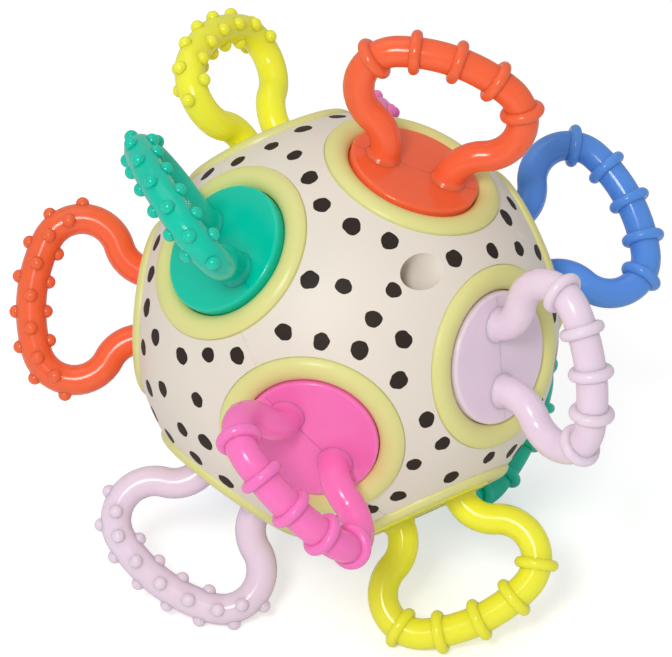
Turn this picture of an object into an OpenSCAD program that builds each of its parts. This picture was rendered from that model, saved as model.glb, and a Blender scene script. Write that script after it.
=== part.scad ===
// Baby's sensory ball: a hollow two-part ball with twelve sockets.
// Each socket holds a soft teething loop, which turns freely and floats in and out with a click.
// Everything is drawn with the ball's pole on +Z and its seam in the XY plane, then turned to the
// way the ball stands, on four of its loops. The origin is the centre of the ball.

/* [Ball] */
// Outside diameter of the ball
ball_d = 104; // [98:1:130]
// Wall thickness of the two half shells
wall = 2.5; // [1.8:0.1:4]
// Radius of the fine groove that marks the seam
seam_groove = 0.3; // [0.1:0.05:0.6]
// Thickness of the shell under each bezel
pad_t = 3.5; // [3:0.1:6]
// Margin of that thicker shell round the bezel
pad_margin = 0.8; // [0.4:0.1:1.5]
// Depth of a bezel's seat under the ball's surface at its rim
seat_sink = 0.25; // [0.1:0.05:0.5]

/* [Case screws] */
// Diameter of the deep hole over each screw
screw_hole_d = 8.6; // [7:0.1:10]
// Wall of the post round that hole
post_wall = 1.5; // [1:0.1:2.5]
// Height above the seam at which the screw's head sits
head_seat_h = 8; // [5:0.5:14]
// Diameter of the screw's head
screw_head_d = 5.6; // [4.5:0.1:6.5]
// Height of the screw's head
screw_head_h = 2.2; // [1.5:0.1:3]
// Diameter of the screw's shank
screw_d = 3; // [2.5:0.1:3.5]
// Length of the screw under its head
screw_l = 18; // [14:0.5:24]
// Length of the nose on the post that locates the halves
nose_l = 2; // [1:0.1:3]
// Wall of that nose round the screw
nose_wall = 1.2; // [0.8:0.1:1.6]
// Wall of the boss round the nose
boss_wall = 1.5; // [1:0.1:2]

/* [Socket] */
// Outside diameter of the bezel ring
bezel_d = 44; // [40:0.2:48]
// Height of the bezel's straight edge
bezel_edge = 0.9; // [0.4:0.1:2]
// Height of the bezel's round top over its edge
bezel_dome = 1.6; // [1:0.1:2.4]
// Wall of the cup under the bezel
cup_wall = 1.5; // [1:0.1:2.2]
// Thickness of the cup's floor
cup_floor_t = 2; // [1.4:0.1:3]
// Distance that the loop floats in and out
travel = 4; // [2:0.1:5]

/* [Spindle and bush] */
// Diameter of the spindle's flange under the soft disc
spindle_flange_d = 22; // [18:0.5:28]
// Thickness of that flange
spindle_flange_t = 2; // [1.4:0.1:3]
// Diameter of the spindle's stem
stem_d = 8; // [6:0.1:9]
// Diameter of the stem's tip that holds the retainer
tip_d = 5; // [3.5:0.1:5.5]
// Wall of the click bush
bush_wall = 1.5; // [1.2:0.1:2]
// Width of the bush's upper flange round its tube
bush_flange_w = 2.5; // [1.5:0.1:4]
// Thickness of that flange
bush_flange_t = 1.2; // [0.8:0.1:2]
// Width of the bush's lower lip round its tube
bush_lip_w = 1.6; // [1:0.1:3]
// Thickness of that lip
bush_lip_t = 1.2; // [0.8:0.1:2]
// Width of the rib that keeps the bush from turning
key_w = 1.6; // [1:0.1:2.5]
// Height of that rib over the bush's tube
key_h = 1; // [0.6:0.1:1.4]
// Diameter of the retainer
retainer_d = 13; // [11:0.5:16]
// Thickness of the retainer
retainer_t = 2; // [1.4:0.1:3]

/* [Teether] */
// Diameter of the soft disc
disc_d = 32; // [28:0.2:34]
// Thickness of the soft disc
disc_t = 4; // [3.4:0.1:6]
// Height of the disc's top over the bezel's seat
disc_rise = 1.8; // [1:0.1:3]
// Radius of the disc's rounded edge
disc_round = 0.8; // [0.4:0.1:1.5]
// Diameter of the loop's bar
bar_d = 7.4; // [6:0.1:9]
// Distance between the middles of the loop's two legs
leg_spacing = 16.4; // [14:0.2:18]
// Straight length of a leg over the disc
leg_straight = 0.3; // [0.1:0.1:3]
// Radius of the neck where a leg turns out
neck_r = 9.2; // [7:0.1:12]
// Radius of the loop's corners
corner_r = 9.6; // [8:0.1:12]
// Radius of the loop's crown
crown_r = 39; // [30:0.5:60]
// Half the angle that the crown spans
crown_half = 20.6; // [14:0.2:24]
// Width of a ridge along the bar
ridge_w = 2.8; // [1.6:0.1:3.2]
// Height of a ridge over the bar
ridge_h = 1.7; // [0.8:0.1:2]
// Distance of the outermost ridges from the ends of the crown
ridge_drop = 6.2; // [4:0.1:9]
// Diameter of a bump
bump_d = 3.4; // [2.4:0.1:4]
// Spacing along the corners between bumps on the edges and bumps on the faces
bump_step = 3.1; // [2.8:0.1:4.4]

/* [Clearances] */
// Gap between a soft disc and its bezel
disc_gap = 0.2; // [0.15:0.05:0.8]
// Gap between flat faces that turn or slide towards each other
face_gap = 0.3; // [0.2:0.05:0.5]
// Radial clearance of the spindle in its bush, and of the bush in the cup
run_gap = 0.05; // [0.02:0.01:0.1]
// Clearance of the rib in its slot
key_gap = 0.2; // [0.1:0.05:0.4]
// Clearance of a bezel in the shell's seat
seat_gap = 0.15; // [0.05:0.05:0.3]
// Clearance of the screws and the locating noses
screw_gap = 0.2; // [0.1:0.05:0.4]

/* [Hidden] */
$fn = 96;
// Overrun of every cut past the face that it opens
over = 1;

// The three upper and three lower sockets lean this far from the pole
cap_polar = atan(1 / sqrt(2));
// Turns of the whole ball from its pole to the way it stands, with its four lowest loops level
stand_spin = 210;
stand_lean = 90 - cap_polar;
stand_tip = 4.4;
// Screws sit midway between the upper sockets
screw_azimuths = [30, 150, 270];
// Distance of the screws from the pole's axis, as a share of the ball's radius
screw_ring_share = 0.64;

// Each socket: name, polar angle, azimuth, texture, turn of the loop,
// and the loop's lean along and across its own plane, as its soft legs let it lean
SOCKETS = [
    ["teal_bumps",       90,              0,   "bumps",  112,  6,   8],
    ["pink_ridges",      90,              60,  "ridges", 99,   1,   3],
    ["yellow_ridges",    90,              120, "ridges", 163,  -1,  4],
    ["teal_ridges",      90,              180, "ridges", 129,  3,   3],
    ["pink_bumps",       90,              240, "bumps",  117,  -5,  -4],
    ["yellow_bumps",     90,              300, "bumps",  85,   -13, 5],
    ["orange_ridges",    cap_polar,       -30, "ridges", 182,  1,   7],
    ["lavender_ridges",  cap_polar,       90,  "ridges", 218,  -4,  4],
    ["blue_ridges",      cap_polar,       210, "ridges", 266,  2,   3],
    ["orange_bumps",     180 - cap_polar, -30, "bumps",  213,  0,   -9],
    ["lavender_bumps",   180 - cap_polar, 90,  "bumps",  138,  1,   4],
    ["blue_bumps",       180 - cap_polar, 210, "bumps",  105,  2,   -2],
];
// How far out each loop floats, as a share of its travel, in the same order
lift_shares = [0.45, 0.1, 0.25, 0.05, 0.2, 0.3, 0.25, 0.2, 0.1, 0.2, 0.05, 0];

// Colours of the soft loops, by the first word of their names
teal = [0.02, 0.77, 0.64];
pink = [0.98, 0.45, 0.71];
yellow = [0.92, 0.9, 0.25];
orange = [0.96, 0.41, 0.26];
lavender = [0.85, 0.77, 0.83];
blue = [0.35, 0.53, 0.82];
SOFT_COLOURS = [teal, pink, yellow, teal, pink, yellow, orange, lavender, blue, orange, lavender, blue];
shell_colour = [0.91, 0.87, 0.81];
bezel_colour = [0.89, 0.87, 0.6];
spindle_colour = [0.93, 0.93, 0.9];
bush_colour = [0.75, 0.78, 0.8];
retainer_colour = [0.4, 0.42, 0.45];
screw_colour = [0.7, 0.71, 0.73];

SEAM = [0, 1, 2, 3, 4, 5];
RIGHT = [6, 7, 8];
LEFT = [9, 10, 11];
ALL = concat(SEAM, RIGHT, LEFT);

// Radii and heights of a socket, measured along its own axis from the centre of the ball
ball_r = ball_d / 2;
seat_r = bezel_d / 2 + seat_gap;
seat_z = sqrt(pow(ball_r, 2) - pow(seat_r, 2)) - seat_sink;
disc_r = disc_d / 2;
cup_inner_r = disc_r + disc_gap;
cup_r = cup_inner_r + cup_wall;
disc_top = seat_z + disc_rise;
disc_bottom = disc_top - disc_t;
flange_bottom = disc_bottom - spindle_flange_t;
bush_top = flange_bottom - face_gap;
bush_shoulder = bush_top - bush_flange_t;
floor_top = bush_shoulder - face_gap;
floor_bottom = floor_top - cup_floor_t;
lip_top = floor_bottom - travel - face_gap;
lip_bottom = lip_top - bush_lip_t;
retainer_top = lip_bottom - face_gap;
retainer_bottom = retainer_top - retainer_t;
bush_bore_r = stem_d / 2 + run_gap;
bush_r = bush_bore_r + bush_wall;

// Screw posts, measured from the seam along the pole's axis
screw_ring_r = ball_r * screw_ring_share;
screw_hole_r = screw_hole_d / 2;
post_r = screw_hole_r + post_wall;
shank_hole_r = screw_d / 2 + screw_gap;
nose_r = shank_hole_r + nose_wall;
nose_hole_r = nose_r + screw_gap;
boss_r = nose_hole_r + boss_wall;

// The loop's half outline in its own plane: crown arc, corner arc and neck arc, each tangent to the next
leg_x = leg_spacing / 2;
corner_x = (crown_r - corner_r) * sin(crown_half);
neck_turn = 180 - asin((leg_x + neck_r - corner_x) / (corner_r + neck_r));
neck_z = disc_top + leg_straight;
neck_x = leg_x + neck_r;
corner_z = neck_z - (corner_r + neck_r) * cos(neck_turn);
crown_z = corner_z - (crown_r - corner_r) * cos(crown_half);
crown_l = crown_r * crown_half * PI / 180;
bar_r = bar_d / 2;
ridge_r = ridge_w / 2;
// The corners and legs are this much thinner and run this far into the crown and necks, to join cleanly
joint_step = 0.05;
joint_angle = 0.6;
// Places of the ridges on the crown, as shares of its half length
ridge_shares = [-0.72, 0, 0.72];
// Steps of bumps from the middle of the crown to its end
crown_steps = 3.5;

// Puts its children at a socket, with the socket's axis on +Z
module at_socket(i) {
    rotate([0, SOCKETS[i][1], SOCKETS[i][2]])
        children();
}

// Puts its children at a socket as far out as its loop floats
module at_lift(i) {
    at_socket(i)
        translate([0, 0, lift_shares[i] * travel])
            children();
}

// Turns the whole ball to the way it stands
module stand() {
    rotate([stand_tip, 0, 0])
        rotate([0, stand_lean, 0])
            rotate([0, 0, stand_spin])
                children();
}

module at_screws() {
    for (a = screw_azimuths)
        rotate([0, 0, a])
            translate([screw_ring_r, 0, 0])
                children();
}

// A cylinder between two heights
module post(r, low, high) {
    translate([0, 0, low])
        cylinder(r = r, h = high - low);
}

// Half of a solid ball, on the side of the seam given by +1 or -1
module half_ball(r, side) {
    intersection() {
        sphere(r = r);
        translate([-r - over, -r - over, side > 0 ? 0 : -r - over])
            cube([2 * (r + over), 2 * (r + over), r + over]);
    }
}

// A half shell: its hollow leaves the children and a thicker ring round each socket standing
module half_shell(side, sockets) {
    difference() {
        half_ball(ball_r, side);
        difference() {
            sphere(r = ball_r - wall);
            for (i = sockets)
                at_socket(i)
                    post(seat_r + pad_margin, seat_z - pad_t, ball_r);
            children();
        }
        for (i = sockets)
            at_socket(i) {
                post(seat_r, seat_z, ball_r + over);
                post(cup_r + seat_gap, seat_z - pad_t - over, seat_z + over);
            }
        rotate_extrude()
            translate([ball_r, 0])
                circle(r = seam_groove);
    }
}

module shell_right() {
    color(shell_colour)
        stand()
            difference() {
                union() {
                    half_shell(1, concat(SEAM, RIGHT))
                        at_screws()
                            post(post_r, -over, ball_r);
                    at_screws()
                        post(nose_r, -nose_l, over);
                }
                at_screws() {
                    post(screw_hole_r, head_seat_h, ball_r + over);
                    post(shank_hole_r, -nose_l - over, head_seat_h + over);
                }
            }
}

module shell_left() {
    color(shell_colour)
        stand()
            difference() {
                half_shell(-1, concat(SEAM, LEFT))
                    at_screws()
                        post(boss_r, -ball_r, over);
                at_screws() {
                    post(nose_hole_r, -nose_l - face_gap, over);
                    post(screw_d / 2, head_seat_h - screw_l - face_gap, over);
                }
            }
}

// Pan-head screws with a cross slot
module case_screws() {
    slot_w = screw_head_d / 5;
    slot_d = screw_head_h / 2;
    color(screw_colour)
        stand()
            at_screws()
                difference() {
                    union() {
                        post(screw_head_d / 2, head_seat_h, head_seat_h + screw_head_h);
                        post(screw_d / 2, head_seat_h - screw_l, head_seat_h);
                    }
                    for (a = [0, 90])
                        rotate([0, 0, a])
                            translate([-screw_head_d / 3, -slot_w / 2, head_seat_h + screw_head_h - slot_d])
                                cube([screw_head_d * 2 / 3, slot_w, slot_d + over]);
                }
}

// The bezel's section: a straight edge under a shallow round top
module bezel_section() {
    half_w = (bezel_d / 2 - cup_inner_r) / 2;
    dome_r = (pow(half_w, 2) + pow(bezel_dome, 2)) / (2 * bezel_dome);
    middle = cup_inner_r + half_w;
    translate([cup_inner_r, seat_z])
        square([2 * half_w, bezel_edge]);
    intersection() {
        translate([middle, seat_z + bezel_edge + bezel_dome - dome_r])
            circle(r = dome_r);
        translate([cup_inner_r, seat_z])
            square([2 * half_w, bezel_edge + 2 * bezel_dome]);
    }
}

// Bezel ring and cup in one, with a keyed hole in the cup's floor
module bezel(i) {
    slot_w = key_w + 2 * key_gap;
    at_socket(i)
        difference() {
            union() {
                rotate_extrude()
                    bezel_section();
                difference() {
                    post(cup_r, floor_bottom, seat_z);
                    post(cup_inner_r, floor_top, seat_z + over);
                }
            }
            post(bush_r + run_gap, floor_bottom - over, floor_top + over);
            translate([0, -slot_w / 2, floor_bottom - over])
                cube([bush_r + key_h + key_gap, slot_w, cup_floor_t + 2 * over]);
        }
}

module bezels(sockets) {
    color(bezel_colour)
        stand()
            for (i = sockets)
                bezel(i);
}

// A piece of the loop's bar, bent round a centre from one angle to another
module bar_arc(x, z, r, from, to, thick) {
    translate([x, 0, z])
        rotate([90, 0, 0])
            rotate([0, 0, from])
                rotate_extrude(angle = to - from)
                    translate([r, 0])
                        circle(r = thick);
}

// Half of the loop's bar, from the end of the crown down into the disc
module bar_half() {
    thin_r = bar_r - joint_step;
    corner_from = 90 - neck_turn - joint_angle;
    corner_to = 90 - crown_half + joint_angle;
    bar_arc(corner_x, corner_z, corner_r, corner_from, corner_to, thin_r);
    bar_arc(neck_x, neck_z, neck_r, 270 - neck_turn, 180, bar_r);
    translate([leg_x, 0, 0])
        post(thin_r, disc_bottom, neck_z + joint_step);
}

// Puts its children on the bar at a distance from the crown's middle, with +Z out of the loop
module on_bar(s) {
    d = abs(s);
    on_crown = d <= crown_l;
    turn = on_crown ? d / crown_r : (d - crown_l) / corner_r;
    angle = (on_crown ? 0 : crown_half) + turn * 180 / PI;
    mirror([s < 0 ? 1 : 0, 0, 0])
        translate([on_crown ? 0 : corner_x, 0, on_crown ? crown_z : corner_z])
            rotate([0, angle, 0])
                translate([0, 0, on_crown ? crown_r : corner_r])
                    children();
}

module ridge() {
    rotate([0, 90, 0])
        rotate_extrude()
            translate([bar_r + ridge_h - ridge_r, 0])
                circle(r = ridge_r);
}

module ridges() {
    for (share = ridge_shares)
        on_bar(share * crown_l)
            ridge();
    for (side = [-1, 1])
        on_bar(side * (crown_l + ridge_drop))
            ridge();
}

// Distance of a bump from the middle of the crown, by its step
function bump_place(k) =
    k < crown_steps ? k * crown_l / crown_steps : crown_l + (k - crown_steps) * bump_step;

// Bumps by turns on the bar's two faces and on its edges: the crown has them on both edges
module bumps() {
    for (k = [-7 : 7]) {
        edges = abs(k) < crown_steps ? [0, 180] : [0];
        on_bar(sign(k) * bump_place(abs(k)))
            for (turn = k % 2 == 0 ? [-90, 90] : edges)
                rotate([turn, 0, 0])
                    translate([0, 0, bar_r])
                        sphere(d = bump_d);
    }
}

module loop(texture) {
    bar_arc(0, crown_z, crown_r, 90 - crown_half, 90 + crown_half, bar_r);
    for (m = [0, 1])
        mirror([m, 0, 0])
            bar_half();
    if (texture == "bumps")
        bumps();
    else
        ridges();
}

// Soft disc with a rounded top edge
module disc() {
    rotate_extrude() {
        translate([0, disc_bottom])
            square([disc_r, disc_t - disc_round]);
        translate([0, disc_bottom])
            square([disc_r - disc_round, disc_t]);
        translate([disc_r - disc_round, disc_top - disc_round])
            circle(r = disc_round);
    }
}

// Loop and disc in one soft moulding: the loop leans about the middle of the disc's top
module teether(i) {
    color(SOFT_COLOURS[i])
        stand()
            at_lift(i)
                rotate([0, 0, SOCKETS[i][4]]) {
                    disc();
                    difference() {
                        translate([0, 0, disc_top])
                            rotate([-SOCKETS[i][6], -SOCKETS[i][5], 0])
                                translate([0, 0, -disc_top])
                                    loop(SOCKETS[i][3]);
                        post(disc_r, disc_bottom - disc_t, disc_top - disc_t / 2);
                    }
                }
}

module spindle(i) {
    color(spindle_colour)
        stand()
            at_lift(i) {
                post(spindle_flange_d / 2, flange_bottom, disc_bottom);
                post(stem_d / 2, retainer_top, flange_bottom);
                post(tip_d / 2, retainer_bottom, retainer_top);
            }
}

// Flanged tube that floats in the cup's floor and carries the spindle
module click_bush(i) {
    color(bush_colour)
        stand()
            at_lift(i)
                difference() {
                    union() {
                        post(bush_r + bush_flange_w, bush_shoulder, bush_top);
                        post(bush_r, lip_bottom, bush_shoulder);
                        post(bush_r + bush_lip_w, lip_bottom, lip_top);
                        translate([0, -key_w / 2, lip_top])
                            cube([bush_r + key_h, key_w, bush_shoulder - lip_top]);
                    }
                    post(bush_bore_r, lip_bottom - over, bush_top + over);
                }
}

module retainer(i) {
    color(retainer_colour)
        stand()
            at_lift(i)
                difference() {
                    post(retainer_d / 2, retainer_bottom, retainer_top);
                    post(tip_d / 2, retainer_bottom - over, retainer_top + over);
                }
}

shell_right();
shell_left();
case_screws();
bezels(SEAM);  // seam_bezels
bezels(RIGHT);  // right_bezels
bezels(LEFT);  // left_bezels
for (i = ALL) {
    teether(i);
    spindle(i);
    click_bush(i);
    retainer(i);
}
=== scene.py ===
import math

import bpy
import numpy as np
from mathutils import Matrix, Vector


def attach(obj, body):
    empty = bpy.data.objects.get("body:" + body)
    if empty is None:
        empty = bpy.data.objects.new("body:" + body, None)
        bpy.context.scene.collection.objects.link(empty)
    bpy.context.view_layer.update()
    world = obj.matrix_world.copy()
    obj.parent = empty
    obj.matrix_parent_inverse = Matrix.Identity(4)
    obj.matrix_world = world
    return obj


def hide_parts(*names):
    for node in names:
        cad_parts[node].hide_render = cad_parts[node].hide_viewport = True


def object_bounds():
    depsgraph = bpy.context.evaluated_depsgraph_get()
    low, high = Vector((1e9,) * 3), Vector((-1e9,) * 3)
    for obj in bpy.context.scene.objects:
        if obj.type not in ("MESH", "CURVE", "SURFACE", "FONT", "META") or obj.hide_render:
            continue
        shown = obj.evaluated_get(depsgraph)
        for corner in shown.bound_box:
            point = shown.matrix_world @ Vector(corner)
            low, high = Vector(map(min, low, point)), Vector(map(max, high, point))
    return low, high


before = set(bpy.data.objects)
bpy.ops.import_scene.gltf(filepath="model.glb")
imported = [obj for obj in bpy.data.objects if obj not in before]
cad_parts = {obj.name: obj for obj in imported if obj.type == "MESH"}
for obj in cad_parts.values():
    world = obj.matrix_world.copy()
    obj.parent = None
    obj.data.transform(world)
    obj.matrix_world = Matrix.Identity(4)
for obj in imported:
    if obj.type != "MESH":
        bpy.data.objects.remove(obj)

cad_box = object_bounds()

# Photograph: its frame, the place of the ball in it, the viewing angle before the ball is tipped to stand,
# and the ball's radius as a share of its distance from the camera
PHOTO_W, PHOTO_H = 672, 657
BALL_PX = (346.7, 325.3)
BALL_R_PX = 212.3
VIEW_AZIMUTH = math.radians(9.9)
VIEW_ELEVATION = math.radians(33.7)
VIEW_R_SHARE = 0.06

# Sizes of the solids in metres, and how their ridges and bumps are spread along the bar
BALL_R = 0.052
BEZEL_R = 0.022
SEAT_GAP = 0.00015
SEAT_SINK = 0.00025
DISC_R = 0.016
DISC_T = 0.004
DISC_RISE = 0.0018
DISC_ROUND = 0.0008
BAR_R = 0.0037
LEG_X = 0.0082
LEG_STRAIGHT = 0.0003
NECK_R = 0.0092
CORNER_R = 0.0096
CROWN_R = 0.039
CROWN_HALF = math.radians(20.6)
RIDGE_R = 0.0014
RIDGE_H = 0.0017
RIDGE_DROP = 0.0062
RIDGE_SHARE = 0.72
BUMP_R = 0.0017
BUMP_STEP = 0.0031
CROWN_STEPS = 3.5
LAST_BUMP = 7
TRAVEL = 0.004

# Details of the soft pieces that only the scene has: the flare at a leg's root, how far a leg runs
# into its disc, the mould's parting line, and how much the bumps and rings keep inside the solids
ROOT_FILLET = 0.0015
ROOT_FLARE = 0.0007
ROOT_L = 0.0025
PARTING_H = 0.00008
SKIN = 0.00001

# Sockets: polar angle and azimuth from the ball's pole, texture, then the turn of the loop and its lean
# along and across itself, all in degrees, and how far out it floats, as a share of its travel
CAP_POLAR = math.degrees(math.atan(1 / math.sqrt(2)))
SOCKETS = {
    "teal_bumps": (90, 0, "bumps", 112, 6, 8, 0.45),
    "pink_ridges": (90, 60, "ridges", 99, 1, 3, 0.1),
    "yellow_ridges": (90, 120, "ridges", 163, -1, 4, 0.25),
    "teal_ridges": (90, 180, "ridges", 129, 3, 3, 0.05),
    "pink_bumps": (90, 240, "bumps", 117, -5, -4, 0.2),
    "yellow_bumps": (90, 300, "bumps", 85, -13, 5, 0.3),
    "orange_ridges": (CAP_POLAR, -30, "ridges", 182, 1, 7, 0.25),
    "lavender_ridges": (CAP_POLAR, 90, "ridges", 218, -4, 4, 0.2),
    "blue_ridges": (CAP_POLAR, 210, "ridges", 266, 2, 3, 0.1),
    "orange_bumps": (180 - CAP_POLAR, -30, "bumps", 213, 0, -9, 0.2),
    "lavender_bumps": (180 - CAP_POLAR, 90, "bumps", 138, 1, 4, 0.05),
    "blue_bumps": (180 - CAP_POLAR, 210, "bumps", 105, 2, -2, 0),
}

# How the ball stands: its turn round its pole, and the tip that levels its feet, in degrees
STAND_SPIN = 210
STAND_TIP = 4.4

# Screw holes of the right half: azimuths in degrees, their ring's radius as a share of the ball's,
# and a hole's radius
SCREW_AZIMUTHS = (30, 150, 270)
SCREW_RING_SHARE = 0.64
SCREW_HOLE_R = 0.0043

# Colours as they look in the photograph, in sRGB from 0 to 255
SOFT_COLOURS = {
    "teal": (0, 198, 169),
    "pink": (255, 122, 192),
    "yellow": (249, 245, 62),
    "orange": (254, 107, 62),
    "lavender": (236, 216, 232),
    "blue": (91, 150, 231),
}
SHELL_COLOUR = (232, 223, 210)
BEZEL_COLOUR = (226, 223, 146)
INK_COLOUR = (52, 43, 38)
SPINDLE_COLOUR = (236, 236, 230)
BUSH_COLOUR = (190, 198, 204)
RETAINER_COLOUR = (100, 106, 114)
SCREW_COLOUR = (176, 178, 182)

# Fineness of the soft pieces' meshes, with the gap at a bump's poles in radians
RING_STEP = 0.0003
RING_SIDES = 96
LATHE_SIDES = 128
BUMP_SIDES = 20
BUMP_RINGS = 11
BUMP_POLE_GAP = 0.2
RIDGE_SIDES = 20
DISC_UNDER_STEPS = 6
DISC_ROUND_STEPS = 9
PARTING_SIDES = 8
PARTING_STEPS = 40

# Angles in degrees past which an edge stays sharp
SOFT_SHARP = 60
CAD_SHARP = 25

# The sRGB curve
SRGB_FULL = 255
SRGB_TOE = 0.04045
SRGB_TOE_SLOPE = 12.92
SRGB_OFFSET = 0.055
SRGB_POWER = 2.4


def linear(rgb):
    """An sRGB colour of 0 to 255 as the linear colour that a shader takes."""
    out = []
    for level in rgb:
        c = level / SRGB_FULL
        if c <= SRGB_TOE:
            out.append(c / SRGB_TOE_SLOPE)
        else:
            out.append(((c + SRGB_OFFSET) / (1 + SRGB_OFFSET)) ** SRGB_POWER)
    return (*out, 1.0)


def scaled(colour, factor):
    """A linear colour made lighter or darker."""
    return (*(min(1.0, c * factor) for c in colour[:3]), 1.0)


# Derived sizes of a socket and of the loop's half outline, as in the solids
SEAT_R = BEZEL_R + SEAT_GAP
SEAT_Z = math.sqrt(BALL_R ** 2 - SEAT_R ** 2) - SEAT_SINK
DISC_TOP = SEAT_Z + DISC_RISE
CORNER_X = (CROWN_R - CORNER_R) * math.sin(CROWN_HALF)
NECK_X = LEG_X + NECK_R
NECK_Z = DISC_TOP + LEG_STRAIGHT
NECK_TURN = math.pi - math.asin((NECK_X - CORNER_X) / (CORNER_R + NECK_R))
CORNER_Z = NECK_Z - (CORNER_R + NECK_R) * math.cos(NECK_TURN)
CROWN_Z = CORNER_Z - (CROWN_R - CORNER_R) * math.cos(CROWN_HALF)
CROWN_L = CROWN_R * CROWN_HALF


def turn(degrees, axis):
    """A turn about an axis of the frame."""
    return Matrix.Rotation(math.radians(degrees), 4, axis)


STAND = turn(STAND_TIP, "X") @ turn(90 - CAP_POLAR, "Y") @ turn(STAND_SPIN, "Z")


def socket_matrix(name):
    """From a socket's own axes, with +Z out of the ball, to the frame's."""
    polar, azimuth = SOCKETS[name][:2]
    return STAND @ turn(azimuth, "Z") @ turn(polar, "Y")


def moved(points, matrix):
    """Rows of points, moved by a matrix."""
    m = np.array(matrix)
    return points @ m[:3, :3].T + m[:3, 3]


# Camera: its axes right, up and back towards the viewer, its distance, and its focal length in pixels
TIP = turn(STAND_TIP, "X").to_3x3()
BACK = TIP @ Vector((
    math.sin(VIEW_AZIMUTH) * math.cos(VIEW_ELEVATION),
    -math.cos(VIEW_AZIMUTH) * math.cos(VIEW_ELEVATION),
    math.sin(VIEW_ELEVATION),
))
RIGHT = TIP @ Vector((math.cos(VIEW_AZIMUTH), math.sin(VIEW_AZIMUTH), 0))
UP = BACK.cross(RIGHT)
CAMERA_DISTANCE = BALL_R / VIEW_R_SHARE
FOCAL_PX = BALL_R_PX * CAMERA_DISTANCE / BALL_R


# Materials

# All moulded surfaces: the noise of the mottle and the grain, the band of noise that shows,
# and how far the roughness varies with it
MOTTLE_SCALE = 60
MOTTLE_DETAIL = 4
GRAIN_DETAIL = 2
GRAIN_STRENGTH = 0.25
NOISE_LOW = 0.3
NOISE_HIGH = 0.7
SMOOTHER_BY = 0.04
ROUGHER_BY = 0.05
# Silicone: the share of light that scatters under its skin, and how deep, in metres
SCATTER_SHARE = 0.4
SCATTER_DEPTH = 0.003


def new_material(name):
    """A new material, with its nodes, its links and its shader."""
    mat = bpy.data.materials.new(name)
    mat.use_nodes = True
    nodes = mat.node_tree.nodes
    return mat, nodes, mat.node_tree.links, nodes["Principled BSDF"]


def add_noise(nodes, links, scale, detail):
    """Noise in a piece's own coordinates, in metres."""
    coords = nodes.new("ShaderNodeTexCoord")
    noise = nodes.new("ShaderNodeTexNoise")
    noise.inputs["Scale"].default_value = scale
    noise.inputs["Detail"].default_value = detail
    links.new(coords.outputs["Object"], noise.inputs["Vector"])
    return noise.outputs["Fac"]


def vary_colour(nodes, links, shader, fac, dark, light):
    """A colour that goes from dark to light with the noise."""
    ramp = nodes.new("ShaderNodeValToRGB")
    ramp.color_ramp.elements[0].position = NOISE_LOW
    ramp.color_ramp.elements[0].color = dark
    ramp.color_ramp.elements[1].position = NOISE_HIGH
    ramp.color_ramp.elements[1].color = light
    links.new(fac, ramp.inputs["Fac"])
    links.new(ramp.outputs["Color"], shader.inputs["Base Color"])


def vary_roughness(nodes, links, shader, fac, low, high):
    """A roughness that goes from low to high with the noise."""
    span = nodes.new("ShaderNodeMapRange")
    span.inputs["From Min"].default_value = NOISE_LOW
    span.inputs["From Max"].default_value = NOISE_HIGH
    span.inputs["To Min"].default_value = low
    span.inputs["To Max"].default_value = high
    links.new(fac, span.inputs["Value"])
    links.new(span.outputs["Result"], shader.inputs["Roughness"])


def add_grain(nodes, links, shader, fac, depth):
    """A moulded grain of some depth, in metres."""
    bump = nodes.new("ShaderNodeBump")
    bump.inputs["Strength"].default_value = GRAIN_STRENGTH
    bump.inputs["Distance"].default_value = depth
    links.new(fac, bump.inputs["Height"])
    links.new(bump.outputs["Normal"], shader.inputs["Normal"])


def moulded(name, rgb, rough, grain, depth, mottle=0.04, gloss=0.3):
    """Moulded plastic: a slight mottle, uneven gloss and a fine moulded grain."""
    mat, nodes, links, shader = new_material(name)
    colour = linear(rgb)
    slow = add_noise(nodes, links, MOTTLE_SCALE, MOTTLE_DETAIL)
    fine = add_noise(nodes, links, grain, GRAIN_DETAIL)
    vary_colour(nodes, links, shader, slow, scaled(colour, 1 - mottle), scaled(colour, 1 + mottle))
    vary_roughness(nodes, links, shader, slow, rough - SMOOTHER_BY, rough + ROUGHER_BY)
    add_grain(nodes, links, shader, fine, depth)
    shader.inputs["Specular IOR Level"].default_value = gloss
    return mat


def silicone(name, rgb):
    """Soft glossy silicone: light scatters a little under its skin, which has a very fine grain."""
    mat = moulded(name, rgb, rough=0.18, grain=1600, depth=0.00001, mottle=0.03, gloss=0.4)
    shader = mat.node_tree.nodes["Principled BSDF"]
    shader.inputs["Subsurface Weight"].default_value = SCATTER_SHARE
    shader.inputs["Subsurface Radius"].default_value = (1.0, 1.0, 1.0)
    shader.inputs["Subsurface Scale"].default_value = SCATTER_DEPTH
    return mat


def metal(name, rgb):
    """Bright metal with a fine grain."""
    mat = moulded(name, rgb, rough=0.3, grain=900, depth=0.00001)
    mat.node_tree.nodes["Principled BSDF"].inputs["Metallic"].default_value = 1.0
    return mat


SHELL_MAT = moulded("shell_plastic", SHELL_COLOUR, rough=0.45, grain=1400, depth=0.00003, mottle=0.015)
BEZEL_MAT = moulded("bezel_plastic", BEZEL_COLOUR, rough=0.32, grain=1400, depth=0.00003, mottle=0.02)
INK_MAT = moulded("printed_ink", INK_COLOUR, rough=0.5, grain=2500, depth=0.00001, mottle=0.15, gloss=0.1)
SPINDLE_MAT = moulded("spindle_plastic", SPINDLE_COLOUR, rough=0.4, grain=1200, depth=0.00002)
BUSH_MAT = moulded("bush_plastic", BUSH_COLOUR, rough=0.35, grain=1200, depth=0.00002)
RETAINER_MAT = moulded("retainer_plastic", RETAINER_COLOUR, rough=0.35, grain=1200, depth=0.00002)
SCREW_MAT = metal("screw_steel", SCREW_COLOUR)
SOFT_MATS = {word: silicone("silicone_" + word, rgb) for word, rgb in SOFT_COLOURS.items()}


# Pieces


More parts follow.
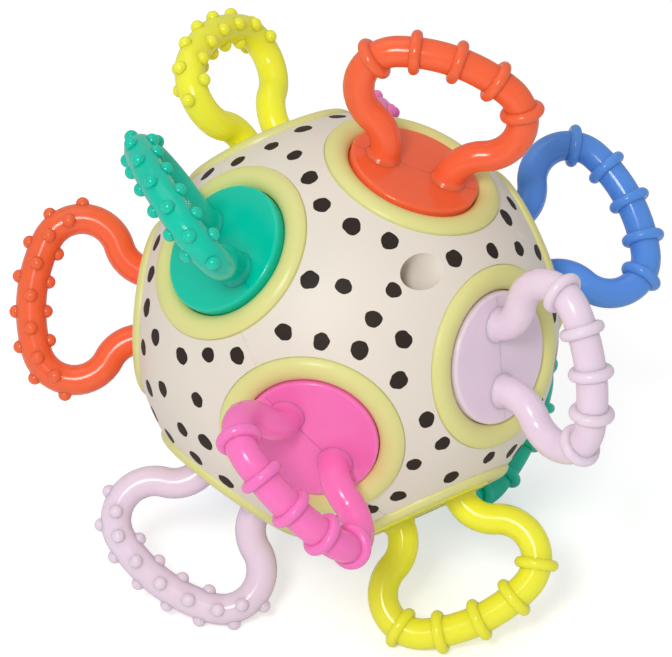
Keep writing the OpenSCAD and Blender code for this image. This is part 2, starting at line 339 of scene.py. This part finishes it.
def new_piece(name, points, faces, mat, body):
    """A smooth mesh that rides on a body."""
    mesh = bpy.data.meshes.new(name)
    mesh.from_pydata(points.tolist(), [], faces)
    mesh.materials.append(mat)
    mesh.shade_smooth()
    mesh.update()
    piece = bpy.data.objects.new(name, mesh)
    bpy.context.scene.collection.objects.link(piece)
    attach(piece, body)
    return piece


def join_shells(*shells):
    """Several shells of points and faces as one."""
    points, faces, first = [], [], 0
    for p, f in shells:
        points.append(p)
        faces += [tuple(i + first for i in face) for face in f]
        first += len(p)
    return np.concatenate(points), faces


def tube_faces(rings, sides):
    """Faces of a tube of rings, capped at both ends."""
    faces = []
    for i in range(rings - 1):
        for j in range(sides):
            k = (j + 1) % sides
            faces.append((i * sides + j, (i + 1) * sides + j, (i + 1) * sides + k, i * sides + k))
    faces.append(tuple(range(sides)))
    faces.append(tuple((rings - 1) * sides + j for j in reversed(range(sides))))
    return faces


def lathe(profile, sides=LATHE_SIDES):
    """A closed shell turned round +Z from a profile of radius and height, from its lower to its upper end."""
    angles = np.linspace(0, 2 * math.pi, sides, endpoint=False)
    rings = [np.stack([r * np.cos(angles), r * np.sin(angles), np.full(sides, z)], 1) for r, z in profile]
    points = np.concatenate(rings)
    faces = []
    for i in range(len(profile) - 1):
        for j in range(sides):
            k = (j + 1) % sides
            faces.append((i * sides + j, i * sides + k, (i + 1) * sides + k, (i + 1) * sides + j))
    low, high = len(points), len(points) + 1
    points = np.concatenate([points, [[0, 0, profile[0][1]], [0, 0, profile[-1][1]]]])
    last = (len(profile) - 1) * sides
    for j in range(sides):
        k = (j + 1) % sides
        faces.append((low, k, j))
        faces.append((high, last + j, last + k))
    return points, faces


def arc(centre, radius, start, end, steps):
    """Points of radius and height round a centre, from one angle to another."""
    return [
        (centre[0] + radius * math.cos(a), centre[1] + radius * math.sin(a))
        for a in np.linspace(start, end, steps)
    ]


CORNER_L = CORNER_R * (NECK_TURN - CROWN_HALF)
NECK_L = NECK_R * (NECK_TURN - math.pi / 2)
BAR_L = CROWN_L + CORNER_L + NECK_L
SIDE_AXIS = np.array([0.0, 1.0, 0.0])


def loop_line(distances):
    """Places and outward normals of the loop's middle line, at distances along it from the crown's middle."""
    s = np.abs(distances)
    side = np.where(distances < 0, -1, 1)
    on_crown = s / CROWN_R
    on_corner = CROWN_HALF + (s - CROWN_L) / CORNER_R
    on_neck = 3 * math.pi / 2 - NECK_TURN + (s - CROWN_L - CORNER_L) / NECK_R
    parts = [s < CROWN_L, s < CROWN_L + CORNER_L, s < BAR_L]
    x = np.select(parts, [
        CROWN_R * np.sin(on_crown),
        CORNER_X + CORNER_R * np.sin(on_corner),
        NECK_X + NECK_R * np.cos(on_neck),
    ], LEG_X)
    z = np.select(parts, [
        CROWN_Z + CROWN_R * np.cos(on_crown),
        CORNER_Z + CORNER_R * np.cos(on_corner),
        NECK_Z + NECK_R * np.sin(on_neck),
    ], NECK_Z - (s - BAR_L))
    nx = np.select(parts, [np.sin(on_crown), np.sin(on_corner), -np.cos(on_neck)], 1)
    nz = np.select(parts, [np.cos(on_crown), np.cos(on_corner), -np.sin(on_neck)], 0)
    return np.stack([side * x, 0 * x, z], 1), np.stack([side * nx, 0 * nx, nz], 1)


def ridge_rings():
    """The ridges of the bar: five round rings along its crown and corners."""
    far = CROWN_L + RIDGE_DROP
    near = RIDGE_SHARE * CROWN_L
    angles = np.linspace(0, 2 * math.pi, RING_SIDES, endpoint=False)
    section = np.linspace(0, 2 * math.pi, RIDGE_SIDES, endpoint=False)
    across = (BAR_R + RIDGE_H - RIDGE_R + (RIDGE_R - SKIN) * np.cos(section))[None, :, None]
    along = (RIDGE_R * np.sin(section))[None, :, None]
    faces = []
    for j in range(RING_SIDES):
        for k in range(RIDGE_SIDES):
            here = j * RIDGE_SIDES
            ahead = (j + 1) % RING_SIDES * RIDGE_SIDES
            k2 = (k + 1) % RIDGE_SIDES
            faces.append((here + k, ahead + k, ahead + k2, here + k2))
    rings = []
    for place, normal in zip(*loop_line(np.array([-far, -near, 0, near, far]))):
        out = normal * np.cos(angles)[:, None] + SIDE_AXIS * np.sin(angles)[:, None]
        points = place + out[:, None] * across + np.cross(SIDE_AXIS, normal) * along
        rings.append((points.reshape(-1, 3), faces))
    return rings


def bump_balls():
    """The bumps of the bar: by turns on its two faces and on its edges."""
    pole = math.pi / 2 - BUMP_POLE_GAP
    ball, faces = lathe(arc((0, 0), BUMP_R - SKIN, -pole, pole, BUMP_RINGS), BUMP_SIDES)
    balls = []
    for k in range(-LAST_BUMP, LAST_BUMP + 1):
        step = abs(k)
        on_crown = step < CROWN_STEPS
        past_crown = (step - CROWN_STEPS) * BUMP_STEP
        distance = step * CROWN_L / CROWN_STEPS if on_crown else CROWN_L + past_crown
        (place,), (normal,) = loop_line(np.array([math.copysign(distance, k)]))
        if k % 2 == 0:
            outs = [SIDE_AXIS, -SIDE_AXIS]
        else:
            outs = [normal, -normal] if on_crown else [normal]
        balls += [(ball + place + BAR_R * out, faces) for out in outs]
    return balls


def soft_loop(texture, lean):
    """The loop's bar from leg to leg, leaned about the middle of the disc's top, with its parting line."""
    end = BAR_L + LEG_STRAIGHT + ROOT_L
    s = np.linspace(-end, end, 2 * int(end / RING_STEP) + 1)
    place, normal = loop_line(s)
    angles = np.linspace(0, 2 * math.pi, RING_SIDES, endpoint=False)
    out = normal[:, None] * np.cos(angles)[None, :, None] + SIDE_AXIS * np.sin(angles)[None, :, None]
    base = place[:, None] + BAR_R * out
    top = Matrix.Translation((0, 0, DISC_TOP))
    leaned = top @ lean @ top.inverted()
    height = moved(base.reshape(-1, 3), leaned)[:, 2].reshape(base.shape[:2]) - DISC_TOP
    rise = ROOT_FLARE * (1 - np.clip(height / ROOT_FILLET, 0, 1)) ** 2
    rise[:, 0] += PARTING_H
    rise[:, RING_SIDES // 2] += PARTING_H
    bar = ((base + rise[:, :, None] * out).reshape(-1, 3), tube_faces(len(s), RING_SIDES))
    texture_shells = ridge_rings() if texture == "ridges" else bump_balls()
    points, faces = join_shells(bar, *texture_shells)
    return moved(points, leaned), faces


def soft_disc():
    """The soft disc, with a rounded edge and a fine parting line across its top."""
    bottom = DISC_TOP - DISC_T
    under = DISC_ROUND / 2
    profile = [(DISC_R - under, bottom)]
    profile += arc((DISC_R - under, bottom + under), under, -math.pi / 2, 0, DISC_UNDER_STEPS)
    reach = DISC_R - DISC_ROUND
    profile += arc((reach, DISC_TOP - DISC_ROUND), DISC_ROUND, 0, math.pi / 2, DISC_ROUND_STEPS)
    angles = np.linspace(0, 2 * math.pi, PARTING_SIDES, endpoint=False)
    ys = PARTING_H * np.cos(angles)
    zs = DISC_TOP + PARTING_H * np.sin(angles)
    xs = np.linspace(-reach, reach, PARTING_STEPS)
    line = np.concatenate([np.stack([np.full(PARTING_SIDES, x), ys, zs], 1) for x in xs])
    return join_shells(lathe(profile), (line, tube_faces(PARTING_STEPS, PARTING_SIDES)))


def make_teether(name):
    """The fine mesh of a soft disc with its loop, in place of the plain solid."""
    texture, spin, lean, tip, lift_share = SOCKETS[name][2:]
    leaning = turn(-lean, "Y") @ turn(-tip, "X")
    points, faces = join_shells(soft_disc(), soft_loop(texture, leaning))
    lifted = Matrix.Translation((0, 0, lift_share * TRAVEL))
    points = moved(points, socket_matrix(name) @ lifted @ turn(spin, "Z"))
    word = name.split("_")[0]
    piece = new_piece("soft_" + name, points, faces, SOFT_MATS[word], "loop_" + name)
    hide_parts("teether_" + name)
    piece.data.set_sharp_from_angle(angle=math.radians(SOFT_SHARP))


for name in SOCKETS:
    make_teether(name)


# Printed dots: mean radius and the range about it, least spacing, margin to the bezels and screw holes,
# places tried, and how far a dot keeps from a screw hole's middle, as a share of the hole's radius
DOT_R = 0.00205
DOT_SIZE_SHARES = (0.9, 1.1)
DOT_SPACING = 0.0078
DOT_MARGIN = 0.0004
DOT_TRIES = 6000
SCREW_CLEAR_SHARE = 1.3
# Ink: its height, how far it reaches into the ball, and the shares of its height at a dot's middle
# and lost towards its edge
INK_H = 0.00003
INK_ROOT = 0.00006
INK_MIDDLE_SHARE = 1.15
INK_EDGE_LOSS_SHARE = 0.6
INK_EDGE_POWER = 4
# A dot's uneven outline: the lobes round it, with the most that each adds as a share of the radius
DOT_LOBES = ((2, 0.07), (3, 0.05), (5, 0.035), (8, 0.02))
LOBE_LEAST_SHARE = 0.3
LOBE_PHASE_MOST = 6.3
DOT_SIDES = 30
DOT_RINGS = (0.35, 0.7, 0.9, 1.0)
DOT_SEED = 12
rng = np.random.default_rng(DOT_SEED)


def dot_shell(direction, size):
    """A dot of ink with a slightly uneven outline, as a thin closed shell that follows the ball."""
    direction = Vector(direction).normalized()
    first = direction.orthogonal().normalized()
    second = direction.cross(first)
    angles = np.linspace(0, 2 * math.pi, DOT_SIDES, endpoint=False)
    edge = np.full(DOT_SIDES, 1.0)
    for lobes, most in DOT_LOBES:
        part = rng.uniform(LOBE_LEAST_SHARE, 1)
        edge += most * part * np.cos(lobes * angles + rng.uniform(0, LOBE_PHASE_MOST))
    flat = np.outer(np.cos(angles), first) + np.outer(np.sin(angles), second)
    out = np.array(direction)

    def ring(share, height):
        p = out * BALL_R + flat * (size * share * edge)[:, None]
        return p / np.linalg.norm(p, axis=1)[:, None] * (BALL_R + height)

    def ink_height(share):
        return INK_H * (INK_MIDDLE_SHARE - INK_EDGE_LOSS_SHARE * share ** INK_EDGE_POWER)

    rings = [ring(share, ink_height(share)) for share in DOT_RINGS]
    rings.append(ring(1.0, -INK_ROOT))
    middles = [[out * (BALL_R + ink_height(0))], [out * (BALL_R - INK_ROOT)]]
    points = np.concatenate(rings + middles)
    last = (len(rings) - 1) * DOT_SIDES
    top = last + DOT_SIDES
    bottom = top + 1
    faces = []
    for j in range(DOT_SIDES):
        k = (j + 1) % DOT_SIDES
        faces.append((top, j, k))
        for here in range(0, last, DOT_SIDES):
            ahead = here + DOT_SIDES
            faces.append((here + j, ahead + j, ahead + k, here + k))
        faces.append((bottom, last + k, last + j))
    return points, faces


def free_of_sockets(direction):
    """True where a whole dot lies on the ball between the bezels and off the screw holes."""
    reach = math.asin(SEAT_R / BALL_R) + (DOT_R + DOT_MARGIN) / BALL_R
    for name in SOCKETS:
        if direction.angle(socket_matrix(name).to_3x3() @ Vector((0, 0, 1))) < reach:
            return False
    polar = math.asin(SCREW_RING_SHARE)
    for azimuth in SCREW_AZIMUTHS:
        at_zero = Vector((math.sin(polar), 0, math.cos(polar)))
        hole = STAND.to_3x3() @ turn(azimuth, "Z").to_3x3() @ at_zero
        if direction.angle(hole) * BALL_R < SCREW_HOLE_R * SCREW_CLEAR_SHARE + DOT_R + DOT_MARGIN:
            return False
    return True


def dot_places():
    """Dots spread loosely over the ball, no two of them closer than the spacing."""
    places = []
    for _ in range(DOT_TRIES):
        v = Vector(rng.normal(size=3)).normalized()
        if free_of_sockets(v) and all(v.angle(other) * BALL_R > DOT_SPACING for other, _ in places):
            places.append((v, DOT_R * rng.uniform(*DOT_SIZE_SHARES)))
    return places


dot_points, dot_faces = join_shells(*(dot_shell(v, size) for v, size in dot_places()))
new_piece("printed_dots", dot_points, dot_faces, INK_MAT, "ball")


# Finishes of the CAD solids that stay

NODE_MATS = {"shell_right": SHELL_MAT, "shell_left": SHELL_MAT, "case_screws": SCREW_MAT}
for group in ("seam_bezels", "right_bezels", "left_bezels"):
    NODE_MATS[group] = BEZEL_MAT
for name in SOCKETS:
    NODE_MATS["spindle_" + name] = SPINDLE_MAT
    NODE_MATS["click_bush_" + name] = BUSH_MAT
    NODE_MATS["retainer_" + name] = RETAINER_MAT
for node, mat in NODE_MATS.items():
    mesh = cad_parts[node].data
    mesh.materials.clear()
    mesh.materials.append(mat)
    mesh.shade_smooth()
    mesh.set_sharp_from_angle(angle=math.radians(CAD_SHARP))


# Studio: floor, soft lights, world and camera

FLOOR_SIZE = 6.0
FLOOR_ALBEDO = 0.9
FLOOR_GLOW = 0.45
WORLD_LIGHT = 0.51
SENSOR_W = 36
NEAR_CLIP_SHARE = 0.05
# Soft lights: direction along the camera's back, right and up, distance and size in metres,
# and share of the full plain level at the ball
LIGHTS = {
    "key": ((1, -0.2, 0.16), 0.9, 0.2, 0.42),
    "top": ((0.4, -0.3, 1), 0.9, 0.6, 0.11),
}


def seen_by_camera(nodes):
    """1 on rays from the camera."""
    return nodes.new("ShaderNodeLightPath").outputs["Is Camera Ray"]


def floor_material():
    """A white floor that keeps soft shadows, with a little glow so that the camera sees it as white."""
    mat = bpy.data.materials.new("white_floor")
    mat.use_nodes = True
    nodes, links = mat.node_tree.nodes, mat.node_tree.links
    nodes.clear()
    diffuse = nodes.new("ShaderNodeBsdfDiffuse")
    diffuse.inputs["Color"].default_value = (FLOOR_ALBEDO, FLOOR_ALBEDO, FLOOR_ALBEDO, 1)
    glow = nodes.new("ShaderNodeEmission")
    amount = nodes.new("ShaderNodeMath")
    amount.operation = "MULTIPLY"
    amount.inputs[1].default_value = FLOOR_GLOW
    links.new(seen_by_camera(nodes), amount.inputs[0])
    links.new(amount.outputs[0], glow.inputs["Strength"])
    both = nodes.new("ShaderNodeAddShader")
    links.new(diffuse.outputs[0], both.inputs[0])
    links.new(glow.outputs[0], both.inputs[1])
    output = nodes.new("ShaderNodeOutputMaterial")
    links.new(both.outputs[0], output.inputs["Surface"])
    return mat


def make_floor():
    """A level floor under the lowest loop."""
    half = FLOOR_SIZE / 2
    z = cad_box[0].z
    mesh = bpy.data.meshes.new("floor")
    corners = [(-half, -half, z), (half, -half, z), (half, half, z), (-half, half, z)]
    mesh.from_pydata(corners, [], [(0, 1, 2, 3)])
    mesh.materials.append(floor_material())
    floor = bpy.data.objects.new("floor", mesh)
    bpy.context.scene.collection.objects.link(floor)


def white_world():
    """A white world that lights the scene less brightly than the camera sees it."""
    world = bpy.data.worlds.new("studio")
    bpy.context.scene.world = world
    world.use_nodes = True
    nodes, links = world.node_tree.nodes, world.node_tree.links
    background = nodes["Background"]
    background.inputs["Color"].default_value = (1, 1, 1, 1)
    strength = nodes.new("ShaderNodeMapRange")
    strength.inputs["To Min"].default_value = WORLD_LIGHT
    strength.inputs["To Max"].default_value = 1.0
    links.new(seen_by_camera(nodes), strength.inputs["Value"])
    links.new(strength.outputs["Result"], background.inputs["Strength"])


def soft_light(name, towards, distance, size, share):
    """A square soft light that gives a share of the full plain level at the ball."""
    data = bpy.data.lights.new(name, "AREA")
    data.size = size
    data.energy = share * math.pi ** 2 * distance ** 2
    light = bpy.data.objects.new(name, data)
    towards = towards.normalized()
    light.location = towards * distance
    light.rotation_mode = "QUATERNION"
    light.rotation_quaternion = towards.to_track_quat("Z", "Y")
    bpy.context.scene.collection.objects.link(light)


def make_camera():
    """A camera at the photograph's viewing angle, shifted to put the ball in its place there."""
    data = bpy.data.cameras.new("camera")
    data.sensor_width = SENSOR_W
    data.lens = SENSOR_W * FOCAL_PX / PHOTO_W
    data.shift_x = (PHOTO_W / 2 - BALL_PX[0]) / PHOTO_W
    data.shift_y = (BALL_PX[1] - PHOTO_H / 2) / PHOTO_W
    data.clip_start = CAMERA_DISTANCE * NEAR_CLIP_SHARE
    data.clip_end = FLOOR_SIZE * 2
    camera = bpy.data.objects.new("camera", data)
    camera.location = BACK * CAMERA_DISTANCE
    camera.rotation_mode = "QUATERNION"
    camera.rotation_quaternion = Matrix((RIGHT, UP, BACK)).transposed().to_quaternion()
    bpy.context.scene.collection.objects.link(camera)
    bpy.context.scene.camera = camera


make_floor()
white_world()
for name, ((back, right, up), distance, size, share) in LIGHTS.items():
    soft_light(name, BACK * back + RIGHT * right + UP * up, distance, size, share)
make_camera()
bpy.context.scene.view_settings.view_transform = "Standard"
